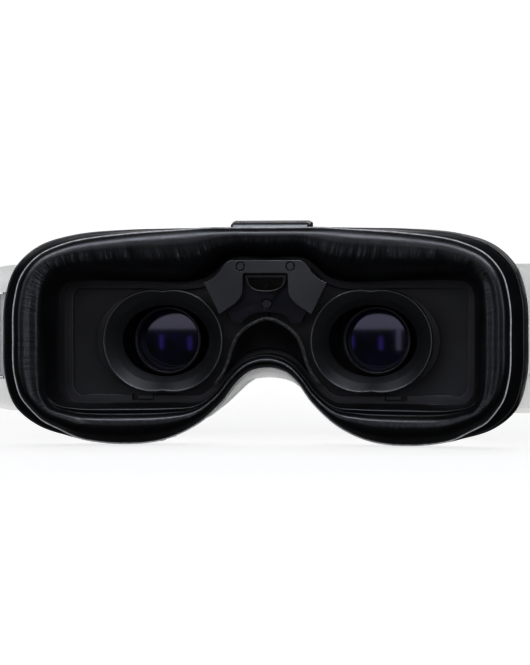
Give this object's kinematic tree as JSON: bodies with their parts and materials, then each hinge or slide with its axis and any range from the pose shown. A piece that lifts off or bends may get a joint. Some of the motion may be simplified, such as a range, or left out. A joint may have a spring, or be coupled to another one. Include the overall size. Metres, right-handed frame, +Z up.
{
  "type": "fpv goggles",
  "caption": "Slim video goggles with a padded face gasket, sliding eyepieces in round dishes, a light housing with side wings and folding strap loops.",
  "frame": {"origin": "middle of the width and depth, on the surface the goggles stand on", "axes": "+X to the wearer's right, +Y the way the wearer looks, +Z up"},
  "size_m": [0.1946, 0.0792, 0.0693],
  "materials": {
    "leather": "soft black leatherette with a fine grain",
    "black_plastic": "satin moulded",
    "grey_plastic": "fine moulded grain",
    "gloss_black": "polished",
    "white_plastic": "semi-gloss moulded",
    "soft_grey": "satin moulded",
    "lens_glass": "blue-violet anti-reflection coating",
    "steel": "drawn",
    "brass": "turned and gilt",
    "circuit_board": "solder mask"
  },
  "bodies": {
    "housing": {"face_cushion": "leather", "nose_flap": "leather", "cushion_frame": "black_plastic", "eye_dish_right": "black_plastic", "eye_dish_left": "black_plastic", "fan_frame": "black_plastic", "dc_jack": "black_plastic", "av_jack": "black_plastic", "bracket_plug_right": "black_plastic", "bracket_plug_left": "black_plastic", "bezel": "grey_plastic", "center_bracket": "grey_plastic", "nose_plug": "grey_plastic", "top_module": "grey_plastic", "eye_panel_right": "grey_plastic", "eye_panel_left": "grey_plastic", "sensor_window": "gloss_black", "nose_plate": "gloss_black", "visor_plate": "gloss_black", "rear_shell": "white_plastic", "front_shell": "white_plastic", "insert_latch_right": "soft_grey", "insert_latch_left": "soft_grey", "upper_rail": "steel", "lower_rail_right": "steel", "lower_rail_left": "steel", "receiver_module": "steel", "card_reader": "steel", "strap_pin_right": "steel", "strap_pin_left": "steel", "shell_screw_lower_right": "steel", "shell_screw_lower_left": "steel", "shell_screw_upper_right": "steel", "shell_screw_upper_left": "steel", "antenna_socket_right": "brass", "antenna_socket_left": "brass", "sensor_board": "circuit_board", "main_board": "circuit_board"},
    "right_eyepiece": {"eyepiece_right": "black_plastic", "lens_ring_right": "grey_plastic", "eye_lens_right": "lens_glass", "field_lens_right": "lens_glass", "display_right": "gloss_black", "display_board_right": "circuit_board"},
    "left_eyepiece": {"eyepiece_left": "black_plastic", "lens_ring_left": "grey_plastic", "eye_lens_left": "lens_glass", "field_lens_left": "lens_glass", "display_left": "gloss_black", "display_board_left": "circuit_board"},
    "ipd_drive": {"ipd_wheel": "grey_plastic", "ipd_pinion": "steel"},
    "fan": {"fan_rotor": "black_plastic"},
    "power_key": {"power_button": "grey_plastic"},
    "menu_key": {"menu_button": "grey_plastic"},
    "channel_down_key": {"channel_down_button": "grey_plastic"},
    "channel_up_key": {"channel_up_button": "grey_plastic"},
    "right_strap_loop": {"strap_loop_right": "soft_grey"},
    "left_strap_loop": {"strap_loop_left": "soft_grey"}
  },
  "joints": [
    {"name": "ipd_wheel_turn", "type": "hinge", "parent": "housing", "child": "ipd_drive", "pos_m": [0, 0.01559, 0.064], "axis": [0, 0, 1], "range_deg": [-34.5, 34.5]},
    {"name": "right_eyepiece_slide", "type": "slide", "parent": "housing", "child": "right_eyepiece", "axis": [1, 0, 0], "range_m": [-0.003, 0.003]},
    {"name": "left_eyepiece_slide", "type": "slide", "parent": "housing", "child": "left_eyepiece", "axis": [-1, 0, 0], "range_m": [-0.003, 0.003]},
    {"name": "fan_spin", "type": "hinge", "parent": "housing", "child": "fan", "pos_m": [0, 0.02059, 0.037], "axis": [0, 1, 0], "continuous": true},
    {"name": "right_loop_swing", "type": "hinge", "parent": "housing", "child": "right_strap_loop", "pos_m": [0.0836, -0.00901, 0.03335], "axis": [0, 0, -1], "range_deg": [-20, 75]},
    {"name": "left_loop_swing", "type": "hinge", "parent": "housing", "child": "left_strap_loop", "pos_m": [-0.0836, -0.00901, 0.03335], "axis": [0, 0, 1], "range_deg": [-20, 75]},
    {"name": "power_press", "type": "slide", "parent": "housing", "child": "power_key", "axis": [0, 0, -1], "range_m": [0, 0.0008], "stiffness_N_per_m": 400},
    {"name": "menu_press", "type": "slide", "parent": "housing", "child": "menu_key", "axis": [0, 0, -1], "range_m": [0, 0.0008], "stiffness_N_per_m": 400},
    {"name": "channel_down_press", "type": "slide", "parent": "housing", "child": "channel_down_key", "axis": [0, 0, -1], "range_m": [0, 0.0008], "stiffness_N_per_m": 400},
    {"name": "channel_up_press", "type": "slide", "parent": "housing", "child": "channel_up_key", "axis": [0, 0, -1], "range_m": [0, 0.0008], "stiffness_N_per_m": 400}
  ],
  "couplings": [
    {"joint": "left_eyepiece_slide", "follows": "right_eyepiece_slide", "ratio": 1},
    {"joint": "ipd_wheel_turn", "follows": "right_eyepiece_slide", "rad_per_m": -200}
  ]
}
